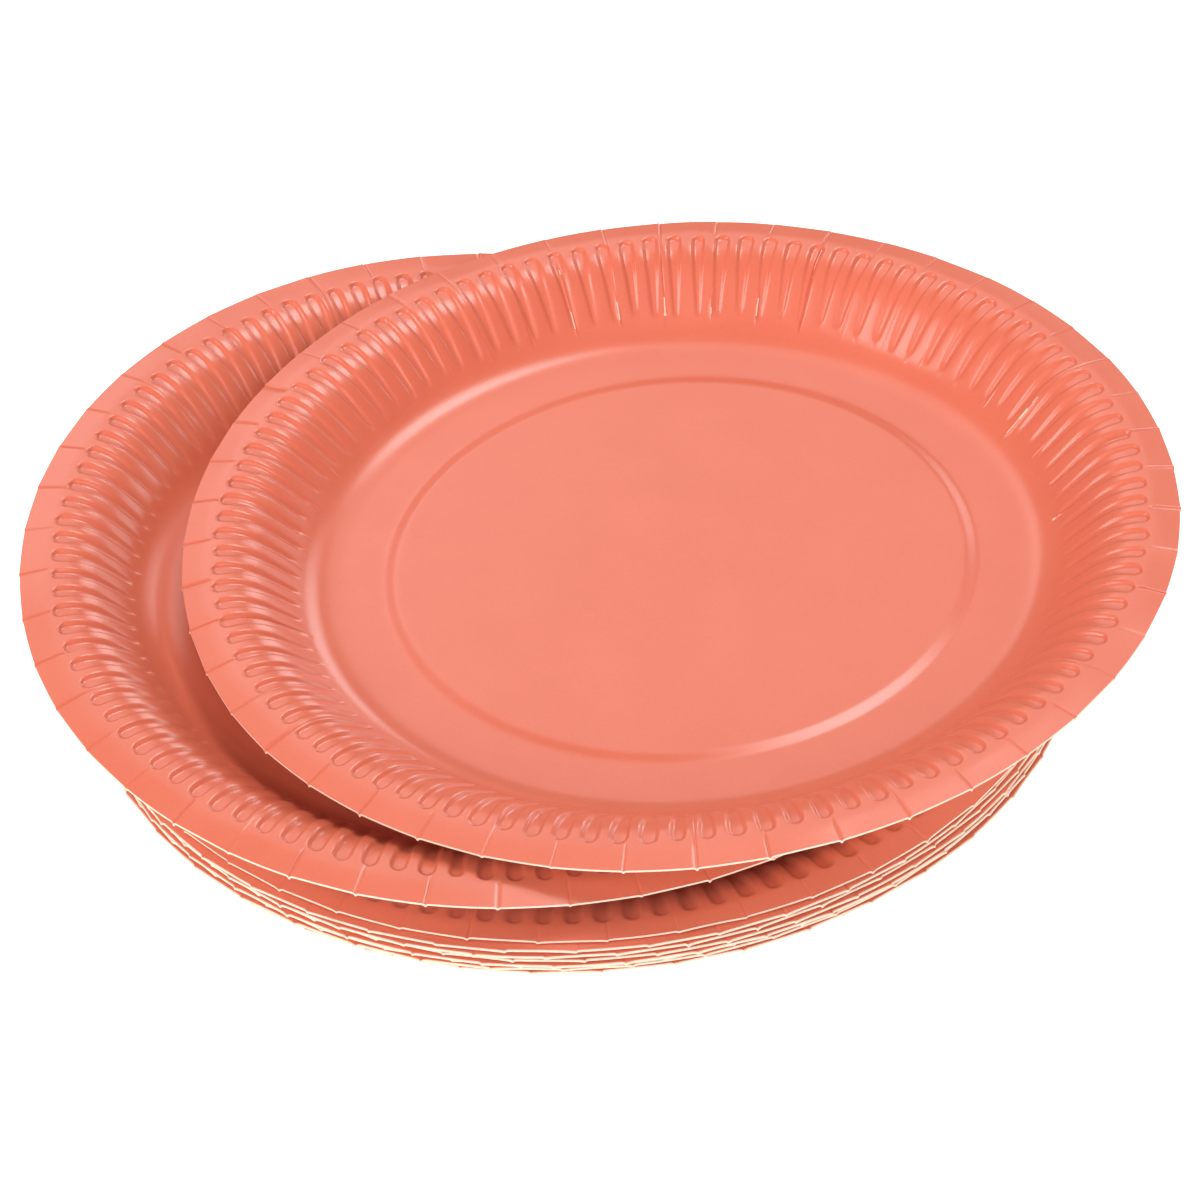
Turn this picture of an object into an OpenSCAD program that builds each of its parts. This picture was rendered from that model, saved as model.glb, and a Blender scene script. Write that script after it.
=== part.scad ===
// Stack of eleven paper plates: nine nested in a tight pile and two loose ones leaning on top.
// Each plate is one sheet of board pressed into a flat base with a raised disc, a fluted flaring
// wall and a flat creased rim. The eight lowest plates are covered by the ones above, and carry
// the section along the floor of a flute all round.
// The origin is on the table under the middle of the pile, +Z up, millimetres.

/* [Plate] */
// radius of a plate at its outer edge
plate_r = 115; // [113:0.5:117]
// thickness of the pressed board
board_t = 0.5; // [0.4:0.02:0.5]
// how far the round disc in the middle of the base stands up
disc_h = 0.8; // [0.4:0.1:1.2]
// radius of that disc at its top
disc_r = 66.6; // [50:0.5:70]

/* [Flutes and creases] */
// number of flutes round the wall
flute_n = 108; // [96:2:108]
// half the width of a flute at the face of the board
flute_w = 2.1; // [1.9:0.05:2.1]
// number of radial creases pressed into the rim
crease_n = 48; // [24:4:60]
// depth of a crease
crease_d = 0.12; // [0.06:0.02:0.2]

/* [Pile] */
// height that each nested plate adds
nest = 0.95; // [0.95:0.01:1.1]

/* [Colour] */
// board colour, red green blue
board_c = [0.93, 0.45, 0.37]; // [0:0.01:1]

/* [Hidden] */
$fn = 96;

ha = 180 / flute_n;          // half the angle of one flute
z_f = 15.15;                 // height of the rim above the base
droop = 0.139;               // fall of the outer rim, per mm
flute_d = 0.85;              // depth of a flute
slope = 58;                  // steepest side of a flute

// middle, height and slopes to the right and to the back of the two loose plates
loose_a = [-14.82, 5.99, 20.40 + 8 * (nest - 0.95)];
tilt_a = [-0.1043, 0.0255];
loose_b = [23.66, 6.14, 27.44 + 8 * (nest - 0.95)];
tilt_b = [0.0157, 0.0272];

// upper face of the board at a ridge, base fillet to shoulder, run on past both ends
wall = [[70.3, -3], [83.6, 0.8], [88.8, 6.0], [98.2, 13.0837], [113.3, 18.1326]];
// upper face of the board along the floor of a flute, from the middle to the edge
floor_line = [
  [0, disc_h], [disc_r, disc_h], [disc_r + 2.8, 0], [80.8, 0], [83.6, 0.8], [88.65, 5.85],
  [90.01, 5.85], [98.6, 12.3212], [104.52, 14.3], [107.9, 14.3], [108.75, z_f], [109.4, z_f],
  [plate_r, z_f - (plate_r - 109.4) * droop]
];

function nrm(a, b) = let (d = b - a) [-d[1], d[0]] / norm(d);
// the same line moved down by the board thickness
function under(p, t) = [for (i = [0 : len(p) - 1]) let (
  n1 = i > 0 ? nrm(p[i - 1], p[i]) : nrm(p[0], p[1]),
  n2 = i < len(p) - 1 ? nrm(p[i], p[i + 1]) : n1,
  m = (n1 + n2) / norm(n1 + n2)) p[i] - m * t / (m * n1)];
function rev(p) = [for (i = [len(p) - 1 : -1 : 0]) p[i]];
function neg(p) = [for (q = p) [-q[0], q[1]]];

// space above two opposite facets of the wall, t below the upper face
module facet_pair(t) {
  b = under(wall, t);
  rotate([90, 0, 0]) linear_extrude(height = 260, center = true)
    polygon(concat([[-114, 20]], rev(neg(b)), b, [[114, 20]]));
}

// space inside a plate, up to the shoulder
module inside(t) {
  intersection_for (i = [-1 : flute_n / 2 - 1]) {
    if (i < 0) rotate_extrude() polygon([[0, disc_h - t], [disc_r, disc_h - t], [disc_r + 2.8, -t], [112.6, -t], [112.6, 17], [0, 17]]);
    else rotate(i * 2 * ha) facet_pair(t);
  }
}

// one straight run of a flute, rising at angle b and ending at radius r1, height z1
module run(r1, z1, b, length, g) {
  k = sqrt(pow(tan(slope), 2) - pow(tan(b), 2)) * cos(b);
  wf = flute_w - flute_d / k + g * tan(atan(k) / 2);
  w1 = wf + (1 + flute_d + g) / k;
  translate([r1, 0, z1]) rotate([0, -b, 0]) rotate([0, -90, 0]) linear_extrude(height = length + g)
    polygon([[-flute_d - g, -wf], [1, -w1], [1, w1], [-flute_d - g, wf]]);
}

// one flute: round outer end in the rim, run over the shoulder, run down the wall
module flute(g) {
  rf = flute_w - flute_d / tan(slope) + g * tan(slope / 2) + 0.03;
  h = flute_d + g + 0.8;
  translate([106.1, 0, z_f - flute_d - g]) cylinder(h = h, r1 = rf, r2 = rf + h / tan(slope - 1.5));
  run(106.1, z_f + (106.1 - 104.38) * 0.33437, 18.49, 10, g);
  run(101.5, 13.0837 + (101.5 - 98.2) * 0.75358, 37, (101.5 - 89.5) / cos(37), g);
}

// all the space above the face of a plate, t below its upper face
module above(t) {
  inside(t);
  translate([0, 0, z_f - t]) cylinder(h = 4, r = 120);
  for (i = [0 : flute_n - 1]) rotate(i * 2 * ha) flute(t);
}

// creases across the rim
module creases() {
  e = plate_r + 1;
  for (i = [0 : crease_n - 1]) rotate((i + 0.5) * 360 / crease_n) translate([108.95, 0, z_f - crease_d])
    rotate([0, atan(droop * 0.87), 0]) rotate([90, 0, 90])
    linear_extrude(height = e - 108.95) polygon([[0, 0], [0.9, 0.9], [-0.9, 0.9]]);
}

module fluted_plate() {
  u = z_f - board_t * sqrt(1 + droop * droop);
  difference() {
    intersection() {
      rotate_extrude() polygon([[0, -2], [plate_r, -2], [plate_r, z_f - (plate_r - 109.4) * droop], [100, z_f + 9.4 * droop], [0, z_f + 9.4 * droop]]);
      union() {
        above(board_t);
        rotate_extrude() polygon([[106, u + 3.4 * droop], [120, u - 10.6 * droop], [120, z_f + 3.2], [106, z_f + 3.2]]);
      }
    }
    above(0);
    creases();
  }
}

// a plate whose flutes are covered
module covered_plate() {
  difference() {
    rotate_extrude() polygon(concat(floor_line, rev(under(floor_line, board_t))));
    creases();
  }
}

// plate number k of the tight pile, counted from 0 at the table
module nested(k) {
  color(board_c) translate([0, 0, board_t + k * nest]) rotate(k * 2 * ha)
    if (k < 8) covered_plate(); else fluted_plate();
}

module plate_01() nested(0);
module plate_02() nested(1);
module plate_03() nested(2);
module plate_04() nested(3);
module plate_05() nested(4);
module plate_06() nested(5);
module plate_07() nested(6);
module plate_08() nested(7);
module plate_09() nested(8);

// the two loose plates lean on the one below
module plate_10() {
  color(board_c) translate(loose_a) rotate([atan(tilt_a[1]), -atan(tilt_a[0]), 0]) rotate(1.3) fluted_plate();
}
module plate_11() {
  color(board_c) translate(loose_b) rotate([atan(tilt_b[1]), -atan(tilt_b[0]), 0]) rotate(0.6) fluted_plate();
}

plate_01();
plate_02();
plate_03();
plate_04();
plate_05();
plate_06();
plate_07();
plate_08();
plate_09();
plate_10();
plate_11();
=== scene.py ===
import bpy, math
import numpy as np
from mathutils import Matrix, Vector


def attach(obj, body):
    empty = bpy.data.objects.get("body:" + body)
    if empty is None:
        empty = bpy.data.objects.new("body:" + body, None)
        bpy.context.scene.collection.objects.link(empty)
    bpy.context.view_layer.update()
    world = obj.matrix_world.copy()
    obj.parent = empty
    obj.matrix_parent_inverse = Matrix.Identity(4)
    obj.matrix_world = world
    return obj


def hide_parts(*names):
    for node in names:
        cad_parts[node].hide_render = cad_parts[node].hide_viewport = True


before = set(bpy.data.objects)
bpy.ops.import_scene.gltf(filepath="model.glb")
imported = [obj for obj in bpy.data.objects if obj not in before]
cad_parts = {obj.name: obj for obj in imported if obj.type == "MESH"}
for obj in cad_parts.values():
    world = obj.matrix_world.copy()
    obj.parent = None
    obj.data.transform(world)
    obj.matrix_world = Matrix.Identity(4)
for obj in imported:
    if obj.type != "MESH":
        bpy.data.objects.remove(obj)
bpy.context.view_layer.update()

# ---------------------------------------------------------------- plate shape
N_FLUTE = 108
N_CREASE = 48
T = 0.5                                   # board thickness, mm
DEG = math.pi / 180
BEND = 42 * DEG / 8.8                      # the base bends up evenly to 42 degrees at the foot of the wall
FOOT = [[79.8 + u, -math.log(math.cos(BEND * u)) / BEND] for u in np.linspace(0, 8.8, 14)]
PR = np.array([[0, 0.8], [66.6, 0.8], [69.4, 0]] + FOOT +
              [[97.4, 11.9], [101.0, 14.05], [104.6, 15.15], [109.4, 15.15], [118, 13.955]])
RG = np.arange(-8, 118.001, 0.05)


def smooth(a, b, x):
    t = np.clip((x - a) / (b - a), 0, 1)
    return t * t * (3 - 2 * t)


def blurred(sigma):
    z = np.interp(np.abs(RG), PR[:, 0], PR[:, 1])
    n = int(4 * sigma / 0.05)
    k = np.exp(-0.5 * (np.arange(-n, n + 1) * 0.05 / sigma) ** 2)
    k /= k.sum()
    return np.convolve(np.pad(z, n, mode="edge"), k, mode="valid")


B_FINE, B_WIDE = blurred(0.55), blurred(1.5)
w2 = smooth(90, 96, RG) * (1 - smooth(105, 108, RG))
ZG = B_FINE * (1 - w2) + B_WIDE * w2


class Plate:
    def __init__(self, seed, phase, creases, warp=(0, 0, 0, 0), wave=0.1, edge=0.12, depth=0.72, marks=(), chord=0.8, loose=1.0, off=(0, 0), press=(), cream_and_glint_strips=(), covered=False):
        g = np.random.default_rng(seed)
        self.phase = phase
        self.c = np.sort(np.asarray(creases) % (2 * math.pi))
        n = len(self.c)
        self.amp = 0.3 + 0.9 * g.random(n) ** 1.3
        self.side = np.where(g.random(n) < 0.5, -1.0, 1.0)
        self.long = loose * np.where(g.random(n) < 0.45, 0.35 + 0.65 * g.random(n), 0.0)
        self.warp = warp
        self.chord = chord
        self.marks = marks
        self.off = off
        self.press = press
        self.cream_and_glint_strips = cream_and_glint_strips
        self.covered = covered
        self.jog = 0.17 - 0.11 * loose
        self.pin = 0.2 * loose * g.random(n) ** 1.5
        self.crease = 0.14 + 0.18 * loose
        self.step = 0.07
        self.wave = [(k, wave * g.normal() / k ** 0.8, 2 * math.pi * g.random()) for k in (3, 4, 5, 7, 9)]
        self.edge = [(k, edge * g.normal() / k ** 0.5, 2 * math.pi * g.random()) for k in (2, 3, 5, 8, 13)]
        self.bulge = np.clip((0.08 + 0.01 * loose) * g.normal(size=n), -0.17, 0.17)
        self.depth = depth * (1 + 0.08 * loose * g.normal(size=N_FLUTE))
        self.wide = 1 + 0.05 * loose * g.normal(size=N_FLUTE)
        self.end = 106.1 + 0.15 * loose * g.normal(size=N_FLUTE)
        self.tip = 89.0 + 0.4 * loose * g.normal(size=N_FLUTE)
        self.sway = 0.12 * loose * g.normal(size=N_FLUTE)
        self.dot = 0.13 * loose * g.random(N_FLUTE) ** 1.5

    def near(self, th):
        """nearest crease and signed angle from it"""
        c = self.c
        t = np.mod(th, 2 * math.pi)
        i = np.searchsorted(c, t)
        a, b = (i - 1) % len(c), i % len(c)
        da = np.mod(t - c[a], 2 * math.pi)
        db = np.mod(c[b] - t, 2 * math.pi)
        j = np.where(da <= db, a, b)
        return j, np.where(da <= db, da, -db), a, da / (da + db)

    def rim(self, th):
        """radius of the cut edge"""
        j, d, a, u = self.near(th)
        half = math.pi / N_CREASE
        f = (u - 0.5) * 2 * half
        chord = 115 * math.cos(half) / np.cos(f)
        r = self.chord * chord + (1 - self.chord) * 115
        r = r + self.off[0] * np.cos(th) + self.off[1] * np.sin(th)
        for k, m, p in self.edge:
            r = r + m * np.cos(k * th + p)
        s = d * 115
        r = r + 0.22 * self.amp[j] * np.exp(-(s / 0.45) ** 2)
        r = r + self.jog * self.side[j] * np.clip(s / 0.3, -1, 1) * np.exp(-np.abs(s) / 2.5)
        return r - 0.1

    def z(self, r, th):
        z = np.interp(r, RG, ZG)
        al = 2 * math.pi / N_FLUTE
        q = th - self.phase + al / 2
        k = np.mod(np.floor(q / al).astype(int), N_FLUTE)
        a = np.mod(q, al) - al / 2
        if self.covered:                       # the section along a flute all round
            a = 0 * a
        # a flute is a round ended groove that narrows and fades towards the base
        s = r * np.cos(a)
        l = np.abs(r * np.sin(a) + self.sway[k] * smooth(104, 90, s))
        w = np.interp(s, [88, 92, 97, 102, 106], [0.92, 1.25, 1.62, 1.92, 2.02]) * self.wide[k]
        e = np.interp(s, [88, 92, 98, 106], [0.85, 1.05, 1.05, 0.82])
        ro = np.hypot(np.maximum(s - self.end[k], 0), l) - w
        ri = (self.tip[k] - s) * 0.6
        d = np.hypot(np.maximum(ro + e, 0), np.maximum(ri + e, 0)) - e
        x = np.clip(-d / e, 0, 1)
        fade = np.interp(s, [88, 91, 95, 100, 104, 106.5], [0.45, 0.62, 0.80, 0.95, 1.0, 1.0])
        z = z - self.depth[k] * fade * x * x * (3 - 2 * x)
        # the board stands up a little between the flutes and is pinched at their inner ends
        z = z - 0.08 * np.cos(a * N_FLUTE) * smooth(88, 92, r) * smooth(108, 104, r)
        z = z + self.dot[k] * np.exp(-(((s - self.tip[k] + 0.5) / 0.5) ** 2 + (l / 0.42) ** 2))
        # creases
        j, dt, ca, u = self.near(th)
        w = dt * r
        on = smooth(107.6, 109.2, r)
        down = self.long[j] * smooth(87.0, 89.5, r) * (1 - on)
        env = (on + down) * self.amp[j]
        z = z - self.crease * env * np.exp(-(w / 0.17) ** 2)
        # and stand up as a thin ridge where they run out at the foot of the wall
        z = z + self.pin[j] * smooth(87.6, 88.6, r) * smooth(93.2, 91.0, r) * np.exp(-(w / 0.2) ** 2)
        for deg, r0, r1, h, wide in self.marks:
            m = np.angle(np.exp(1j * (th - deg * DEG))) * r
            z = z + h * smooth(r0 - 0.8, r0 + 0.3, r) * smooth(r1 + 0.8, r1 - 0.3, r) * np.exp(-(m / wide) ** 2)
        z = z + self.step * env * self.side[j] * np.clip(w / 0.15, -1, 1) * np.exp(-np.abs(w) / 1.6)
        # panels between creases are slightly bowed
        z = z + self.bulge[ca] * (1 - (2 * u - 1) ** 2) * smooth(106, 112, r)
        # slow warp of the whole rim
        t = np.clip((r - 83) / 32, 0, None)
        wp = self.warp
        z = z + t * (wp[0] * np.cos(2 * th) + wp[1] * np.sin(2 * th) + wp[2] * np.cos(th) + wp[3] * np.sin(th))
        for kk, m, p in self.wave:
            z = z + t ** 1.4 * m * np.cos(kk * th + p)
        # pressed down where the next plate bears on it
        for deg, half, h in self.press:
            q = np.abs(np.angle(np.exp(1j * (th - deg * DEG)))) / DEG
            z = z - h * smooth(half + 9, half - 9, q) * smooth(86, 96, r) * smooth(114.5, 108, r)
        return z

    def grad(self, r, th):
        e = 0.03
        zr = (self.z(r + e, th) - self.z(r - e, th)) / (2 * e)
        dt = e / np.maximum(r, 1.0)
        zt = (self.z(r, th + dt) - self.z(r, th - dt)) / (2 * e)
        return zr, np.where(r > 1, zt, 0)


def zip_rings(aa, ia, ab, ib):
    """triangles between two closed rings of different density"""
    out = []
    na, nb = len(aa), len(ab)
    p = q = 0
    tp = 2 * math.pi
    fa = lambda i: aa[i % na] + tp * (i // na)
    fb = lambda i: ab[i % nb] + tp * (i // nb)
    while p < na or q < nb:
        if q >= nb or (p < na and fa(p + 1) + fa(p) < fb(q + 1) + fb(q)):
            out.append((ia + p % na, ib + q % nb, ia + (p + 1) % na))
            p += 1
        else:
            out.append((ia + p % na, ib + q % nb, ib + (q + 1) % nb))
            q += 1
    return out


def columns(plate, per, with_creases=True):
    """angles of the dense columns: closer together over the sides of a flute and at each crease"""
    al = 2 * math.pi / N_FLUTE
    if per == 15:
        off = np.array([0, 0.32, 0.64, 0.97, 1.31, 1.66, 2.03, 2.45]) / 106
        off = np.concatenate([-off[:0:-1], off])
    else:
        off = (np.arange(per) / per - 0.5) * al
    base = (plate.phase + al * np.arange(N_FLUTE)[:, None] + off[None, :]).ravel() % (2 * math.pi)
    if not with_creases:
        return np.sort(base)
    co = np.array([-0.19, -0.08, 0, 0.08, 0.19]) * DEG
    cc = ((plate.c[:, None] + co[None, :]).ravel()) % (2 * math.pi)
    cs = np.sort(cc)
    ext = np.concatenate([[cs[-1] - 2 * math.pi], cs, [cs[0] + 2 * math.pi]])
    i = np.searchsorted(ext, base)
    gap = np.minimum(np.abs(base - ext[i - 1]), np.abs(ext[np.minimum(i, len(ext) - 1)] - base))
    return np.sort(np.concatenate([base[gap > 0.06 * DEG], cs]))


R_IN = [6, 18, 30, 42, 54, 61, 64.6, 65.6, 66.1, 66.6, 67.1, 67.7, 68.4, 69.0, 69.5, 70.1, 71.2, 74, 77, 78.6, 79.8, 80.8, 81.7, 82.5, 83.2, 83.8, 84.5]
R_HI = [85.3, 86.3, 87.2, 87.8, 88.2, 88.6, 89.0, 89.4, 89.9, 90.6, 91.6, 92.9, 94.3, 95.7, 97.1, 98.4, 99.7, 101.0, 102.2, 103.3, 104.3, 105.1, 105.8, 106.4, 106.9, 107.3, 107.6, 107.9, 108.2, 108.5, 108.9, 109.5, 110.6, 112.2, 113.7, 114.7]
R_LO_IN = [10, 30, 50, 63, 66.2, 67.4, 68.6, 69.8, 75, 79.5, 81, 82.5, 84]
R_MED = [85.6, 87.4, 88.6, 89.2, 90.2, 92.5, 96, 99, 101.5, 103.5, 105.3, 106.6, 107.4, 108.0, 108.6, 109.6, 112.4, 114.6]


def build(name, plate, pose, level):
    """closed board: upper face, cut edge and underside"""
    if level == 2:
        dense, rows_in, rows_out, low_per, n_in = columns(plate, 15), R_IN, R_HI, 6, 324
    elif level == 1:
        dense, rows_in, rows_out, low_per, n_in = columns(plate, 10), R_LO_IN, R_MED, 6, 216
    else:
        dense, rows_in, rows_out, low_per, n_in = columns(plate, 6), R_LO_IN, R_MED[::2] + [114.78], 4, 108
    coarse = np.arange(n_in) * 2 * math.pi / n_in
    low = columns(plate, low_per, False)
    rings, V = [], []

    def ring(ang, rad, under, edge=False):
        r = np.full(len(ang), float(rad))
        if rad > 109.5:
            lim = plate.rim(ang)
            r = 109.5 + (rad - 109.5) * (lim - 109.5) / 5.5
        z = plate.z(r, ang)
        if under:
            zr, zt = plate.grad(r, ang)
            z = z - T * np.sqrt(1 + np.minimum(zr ** 2 + zt ** 2, 2.4))
        start = sum(len(v) for v in V)
        V.append(np.stack([r * np.cos(ang), r * np.sin(ang), z], 1))
        rings.append((ang, start, under, rad))

    for r in rows_in: ring(coarse, r, False)
    for r in rows_out: ring(dense, r, False)
    ring(dense, 115.0, False)
    ring(dense, 115.0, True)
    med = [r for r in R_MED[::-1][1:] if r > 84.5]
    for r in (med if level else med[::2]): ring(low, r, True)
    for r in R_LO_IN[::-1]: ring(coarse, r, True)
    total = sum(len(v) for v in V)
    V.append(np.array([[0, 0, ZG[160]], [0, 0, ZG[160] - T]]))
    faces, mats = [], []
    a0, s0 = rings[0][:2]
    n = len(a0)
    quads, qm = [], []
    tri, tm = [], []
    for i in range(n): tri.append((total, s0 + i, s0 + (i + 1) % n)); tm.append(0)
    for (aa, ia, ua, ra), (ab, ib, ub, rb) in zip(rings[:-1], rings[1:]):
        m = 2 if ua else (1 if ub else 0)
        if len(aa) == len(ab) and aa is ab:
            k = np.arange(len(aa)); k2 = (k + 1) % len(aa)
            quads.append(np.stack([ia + k, ib + k, ib + k2, ia + k2], 1)); qk = np.full(len(k), m)
            if m == 0:
                mid = 0.5 * (aa[k] + aa[k2] + 2 * math.pi * (k2 < k))
                for deg, r0, r1, w in plate.cream_and_glint_strips:      # cut-edge colour painted in strips along creases: painted highlights where creases run out at the foot of the wall, and a cream line along one crease
                    if r0 < 0.5 * (ra + rb) < r1:
                        qk[np.abs(np.angle(np.exp(1j * (mid - deg * DEG)))) < w * DEG] = 1
                if level == 0 and ra > 114.5: qk[:] = 1   # the outermost strip of the top face of the covered plates takes the cut-edge colour
            qm.append(qk)
        else:
            t = zip_rings(aa, ia, ab, ib); tri += t; tm += [m] * len(t)
    a1, s1 = rings[-1][:2]
    n = len(a1)
    for i in range(n): tri.append((s1 + i, total + 1, s1 + (i + 1) % n)); tm.append(2)
    V = np.concatenate(V)
    Q = np.concatenate(quads); QM = np.concatenate(qm)
    TR = np.array(tri); TM = np.array(tm)
    # place in the row frame
    x, y, zc, sx, sy, yaw = pose
    c, s = math.cos(yaw * DEG), math.sin(yaw * DEG)
    nrm = np.array([-sx, -sy, 1.0]); nrm /= np.linalg.norm(nrm)
    ex = np.array([1.0, 0, sx]); ex /= np.linalg.norm(ex)
    ey = np.cross(nrm, ex)
    P = np.stack([c * V[:, 0] - s * V[:, 1], s * V[:, 0] + c * V[:, 1], V[:, 2]], 1)
    P = P @ np.stack([ex, ey, nrm]) + [x, y, zc]
    P *= 0.001
    me = bpy.data.meshes.new(name)
    nv, nq, nt = len(P), len(Q), len(TR)
    me.vertices.add(nv)
    me.vertices.foreach_set("co", P.astype(np.float32).ravel())
    me.loops.add(nq * 4 + nt * 3)
    me.loops.foreach_set("vertex_index", np.concatenate([Q.ravel(), TR.ravel()]).astype(np.int32))
    me.polygons.add(nq + nt)
    me.polygons.foreach_set("loop_start", np.concatenate([np.arange(nq) * 4, nq * 4 + np.arange(nt) * 3]).astype(np.int32))
    me.polygons.foreach_set("material_index", np.concatenate([QM, TM]).astype(np.int32))
    me.polygons.foreach_set("use_smooth", np.ones(nq + nt, dtype=bool))
    me.update(calc_edges=True)
    me.validate()
    # the cut edge is sharp on both sides
    ev = np.zeros(len(me.edges) * 2, dtype=np.int32)
    me.edges.foreach_get("vertices", ev)
    ev = ev.reshape(-1, 2)
    rid = np.full(nv, -1)
    e0 = [r for r in rings if r[0] is dense]
    top, bot = e0[-2][1], e0[-1][1]
    rid[top:top + len(dense)] = 1
    rid[bot:bot + len(dense)] = 2
    sharp = (rid[ev[:, 0]] > 0) & (rid[ev[:, 0]] == rid[ev[:, 1]])
    me.edges.foreach_set("use_edge_sharp", sharp)
    ob = bpy.data.objects.new(name, me)
    bpy.context.scene.collection.objects.link(ob)
    tris = 2 * nq + nt
    return ob, tris


# ---------------------------------------------------------------- materials
def node(nt, kind, **kw):
    n = nt.nodes.new(kind)
    for k, v in kw.items():
        if k in n.inputs: n.inputs[k].default_value = v
        else: setattr(n, k, v)
    return n


def board_material():
    m = bpy.data.materials.new("board_coated")
    m.use_nodes = True
    nt = m.node_tree
    b = nt.nodes["Principled BSDF"]
    b.inputs["Roughness"].default_value = 0.26
    b.inputs["IOR"].default_value = 1.5
    b.inputs["Specular IOR Level"].default_value = 0.6
    tc = node(nt, "ShaderNodeTexCoord")
    n1 = node(nt, "ShaderNodeTexNoise"); n1.inputs["Scale"].default_value = 55.0; n1.inputs["Detail"].default_value = 4.0
    n2 = node(nt, "ShaderNodeTexNoise"); n2.inputs["Scale"].default_value = 1400.0; n2.inputs["Detail"].default_value = 2.0
    nt.links.new(tc.outputs["Object"], n1.inputs["Vector"])
    nt.links.new(tc.outputs["Object"], n2.inputs["Vector"])
    mix = node(nt, "ShaderNodeMath", operation="ADD")
    sc1 = node(nt, "ShaderNodeMath", operation="MULTIPLY"); sc1.inputs[1].default_value = 0.6
    sc2 = node(nt, "ShaderNodeMath", operation="MULTIPLY"); sc2.inputs[1].default_value = 0.4
    nt.links.new(n1.outputs["Fac"], sc1.inputs[0]); nt.links.new(n2.outputs["Fac"], sc2.inputs[0])
    nt.links.new(sc1.outputs[0], mix.inputs[0]); nt.links.new(sc2.outputs[0], mix.inputs[1])
    ramp = node(nt, "ShaderNodeValToRGB")
    ramp.color_ramp.elements[0].position = 0.3
    ramp.color_ramp.elements[1].position = 0.7
    ramp.color_ramp.elements[0].color = (0.706, 0.146, 0.080, 1)
    ramp.color_ramp.elements[1].color = (0.742, 0.162, 0.090, 1)
    nt.links.new(mix.outputs[0], ramp.inputs["Fac"])
    nt.links.new(ramp.outputs["Color"], b.inputs["Base Color"])
    bump = node(nt, "ShaderNodeBump"); bump.inputs["Strength"].default_value = 0.05; bump.inputs["Distance"].default_value = 0.0002
    nt.links.new(n2.outputs["Fac"], bump.inputs["Height"])
    nt.links.new(bump.outputs["Normal"], b.inputs["Normal"])
    return m


def plain_material(name, col, rough, scale, amount):
    m = bpy.data.materials.new(name)
    m.use_nodes = True
    nt = m.node_tree
    b = nt.nodes["Principled BSDF"]
    b.inputs["Roughness"].default_value = rough
    tc = node(nt, "ShaderNodeTexCoord")
    n1 = node(nt, "ShaderNodeTexNoise"); n1.inputs["Scale"].default_value = scale; n1.inputs["Detail"].default_value = 3.0
    nt.links.new(tc.outputs["Object"], n1.inputs["Vector"])
    ramp = node(nt, "ShaderNodeValToRGB")
    ramp.color_ramp.elements[0].position = 0.35
    ramp.color_ramp.elements[1].position = 0.65
    ramp.color_ramp.elements[0].color = tuple(c * (1 - amount) for c in col) + (1,)
    ramp.color_ramp.elements[1].color = tuple(col) + (1,)
    nt.links.new(n1.outputs["Fac"], ramp.inputs["Fac"])
    nt.links.new(ramp.outputs["Color"], b.inputs["Base Color"])
    return m


coated = board_material()
# cut-edge colour, also used for painted highlights in strips along some creases of plate 11
cut = plain_material("board_cut_edge", (0.92, 0.64, 0.49), 0.8, 900.0, 0.12)
back = plain_material("board_underside", (0.90, 0.80, 0.70), 0.7, 700.0, 0.05)

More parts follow.
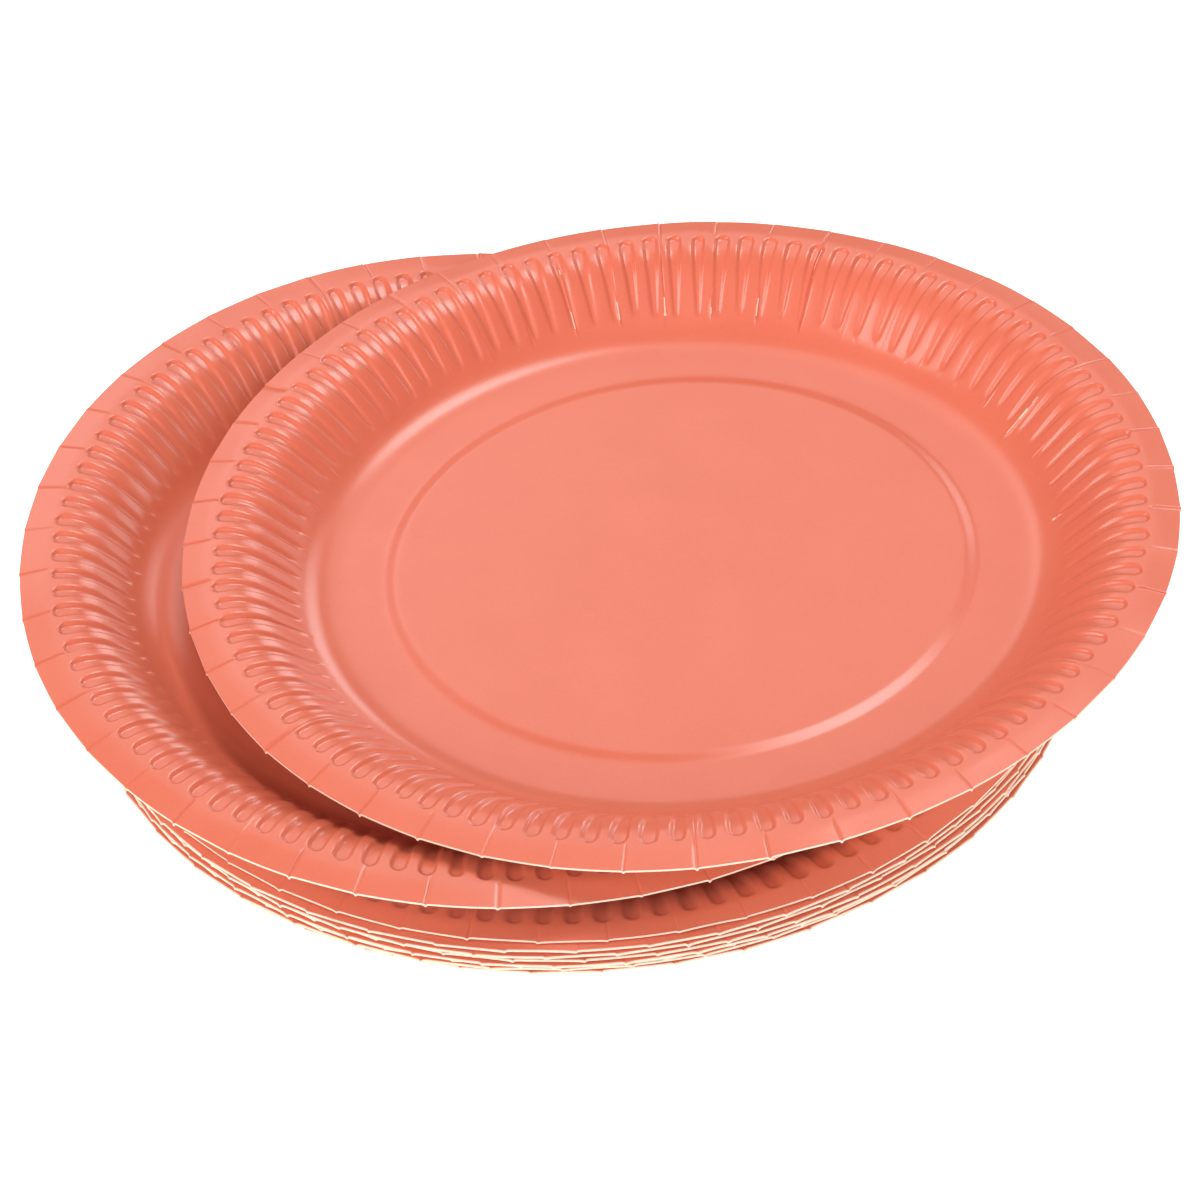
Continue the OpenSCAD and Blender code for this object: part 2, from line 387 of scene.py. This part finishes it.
# ---------------------------------------------------------------- the plates
x_fit = dict(
    p10=(-14.82, 5.99, 20.40, -0.1043, 0.0255, 1.3),
    p11=(23.66, 6.14, 27.44, 0.0157, 0.0272, 0.6),
)
jit = np.random.default_rng(11)
tris_total = 0
for k in range(11):
    nm = "plate_%02d" % (k + 1)
    if k < 9:
        yaw = k * 10 / 3
        ox, oy = (0.5 * jit.normal(size=2)) if k < 8 else (0.43, 1.93)
        pose = (0.0, 0.0, 0.5 + 0.95 * k, 0.0, 0.0, yaw)
        co, si = math.cos(yaw * DEG), math.sin(yaw * DEG)
        off = (co * ox + si * oy, -si * ox + co * oy)
        cr = (np.arange(48) + 0.5) * 7.5 * DEG
        pl = Plate(100 + k, 0.0, cr, wave=0.02, edge=0.26, loose=0.0, off=off, covered=k < 8)
        level = 1 if k == 8 else 0
    elif k == 9:
        pose = x_fit["p10"]
        cr = (np.arange(48) * 7.5 + 2.4) * DEG
        pl = Plate(21, 0.0, cr, warp=(-0.60, -2.00, 2.59, 2.17), wave=0.12, chord=0.4,
                   press=[(316, 24, 1.6), (46, 24, 1.2)])
        level = 2
    else:
        pose = x_fit["p11"]
        t = np.arange(48) * 7.5
        t = t + 5.85 - 0.6 + 0.85 * np.cos(t * DEG) - 0.15 * np.sin(t * DEG)
        # creases that show most
        near = lambda a: float(t[np.argmin(np.abs(t - a))])
        marks = [(near(20.8), 87.0, 95.5, 0.55, 0.30), (near(102), 88.8, 104.0, 0.26, 0.2),
                 (near(94.6), 89.0, 92.8, 0.32, 0.2), (near(87.3), 89.0, 92.6, 0.34, 0.2),
                 (near(79.8), 89.4, 91.6, 0.2, 0.2), (near(72.4), 89.0, 92.8, 0.30, 0.2),
                 (near(64.8), 88.0, 107.5, -0.40, 0.2), (near(358), 87.0, 88.6, 0.3, 0.3),
                 (near(358), 91.0, 99.0, -0.30, 0.2), (near(351), 93.0, 97.0, 0.2, 0.2)]
        # strips along creases painted in the cut-edge colour: painted highlights at the lower ends of the creases
        # near 72-95 degrees and 358 degrees, a painted glint along the crease near 21 degrees, and a cream line
        # along the crease near 102 degrees
        cream_and_glint_strips = [(near(20.8), 87.4, 90.4, 0.1), (near(20.8), 90.4, 93.6, 0.22), (near(20.8), 93.6, 95.4, 0.1),
                (near(102), 89.2, 92.6, 0.1), (near(102), 100.6, 102.0, 0.1), (near(94.6), 89.4, 92.4, 0.1),
                (near(87.3), 89.2, 92.4, 0.1), (near(87.3), 89.2, 89.9, 0.22), (near(72.4), 89.2, 92.4, 0.1),
                (near(79.8), 89.6, 91.0, 0.1), (near(358), 86.8, 87.8, 0.2)]
        pl = Plate(31, -0.8 * DEG, t * DEG, warp=(-0.23, -1.13, 1.59, 0.61), wave=0.10, marks=marks, chord=0.4,
                   cream_and_glint_strips=cream_and_glint_strips)
        level = 2
    ob, tris = build("board_%02d" % (k + 1), pl, pose, level)
    tris_total += tris
    for m in (coated, cut, back):
        ob.data.materials.append(m)
    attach(ob, "root")
    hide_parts(nm)
    print(nm, "triangles", tris)
print("triangles in all", tris_total)

# ---------------------------------------------------------------- floor, light, camera
def quad_mesh(name, half, z):
    me = bpy.data.meshes.new(name)
    me.from_pydata([(-half, -half, z), (half, -half, z), (half, half, z), (-half, half, z)], [], [(0, 1, 2, 3)])
    o = bpy.data.objects.new(name, me)
    bpy.context.scene.collection.objects.link(o)
    return o


floor = quad_mesh("floor", 4.0, -0.0002)
fm = bpy.data.materials.new("floor_pale")
fm.use_nodes = True
fb = fm.node_tree.nodes["Principled BSDF"]
fb.inputs["Base Color"].default_value = (0.85, 0.85, 0.85, 1)
fb.inputs["Roughness"].default_value = 0.9
fb.inputs["Specular IOR Level"].default_value = 0.1
fb.inputs["Emission Color"].default_value = (1, 1, 1, 1)
fb.inputs["Emission Strength"].default_value = 0.58
floor.data.materials.append(fm)

world = bpy.data.worlds.new("soft_white")
bpy.context.scene.world = world
world.use_nodes = True
bg = world.node_tree.nodes["Background"]
bg.inputs["Color"].default_value = (1, 1, 1, 1)
bg.inputs["Strength"].default_value = 0.25


def soft(name, az, el, wide, power):
    """distant soft light: az from straight back towards the right, el above the table, wide across, degrees"""
    a, e = az * DEG, el * DEG
    d = Vector((math.sin(a) * math.cos(e), math.cos(a) * math.cos(e), math.sin(e)))
    L = bpy.data.lights.new(name, "SUN")
    L.energy = power * math.pi
    L.angle = wide * DEG
    o = bpy.data.objects.new(name, L)
    o.location = d * 2
    o.rotation_mode = "QUATERNION"
    o.rotation_quaternion = d.to_track_quat("Z", "Y")
    bpy.context.scene.collection.objects.link(o)
    return o


LEVEL = 0.93
soft("top_back", -9, 48, 39, 0.145 * LEVEL)
soft("key", 40, 64, 24, 0.38 * LEVEL)
soft("front", 180, 20, 54, 0.56 * LEVEL)
soft("front_high", 180, 57, 30, 0.03 * LEVEL)
soft("front_left", -135, 20, 50, 0.32 * LEVEL)
soft("left", -105, 36, 24, 0.27 * LEVEL)
soft("side_right", 60, 8, 20, 0.12 * LEVEL)
soft("back_left", -18, 36, 20, 0.03 * LEVEL)
soft("strip_a", 31, 26, 18, 0.085 * LEVEL)
soft("strip_b", 21, 13, 18, 0.085 * LEVEL)
soft("strip_c", 42, 8, 20, 0.04 * LEVEL)

F, D, EL, ROLL, U0, V0 = 3427.6295, 813.7263, 39.2593, -4.2332, 586.6165, 671.4363
e, ro = EL * DEG, ROLL * DEG
right = Vector((1, 0, 0)); fwd = Vector((0, math.cos(e), -math.sin(e))); up = Vector((0, math.sin(e), math.cos(e)))
c, s = math.cos(ro), math.sin(ro)
du, dv = U0 - 600, V0 - 600
ou, ov = du * c + dv * s, -du * s + dv * c
C = (-right * (ou / F * D) + up * (ov / F * D) - fwd * D) * 0.001
R2 = right * c + up * s
U2 = up * c - right * s
cam = bpy.data.cameras.new("camera")
cam.sensor_width = 36.0
cam.lens = F / 1200 * 36.0
cam.clip_start, cam.clip_end = 0.01, 50
co = bpy.data.objects.new("camera", cam)
bpy.context.scene.collection.objects.link(co)
M = Matrix(((R2.x, U2.x, -fwd.x, C.x), (R2.y, U2.y, -fwd.y, C.y), (R2.z, U2.z, -fwd.z, C.z), (0, 0, 0, 1)))
co.matrix_world = M
bpy.context.scene.camera = co
bpy.context.scene.view_settings.view_transform = "Standard"
bpy.context.scene.view_settings.look = "None"
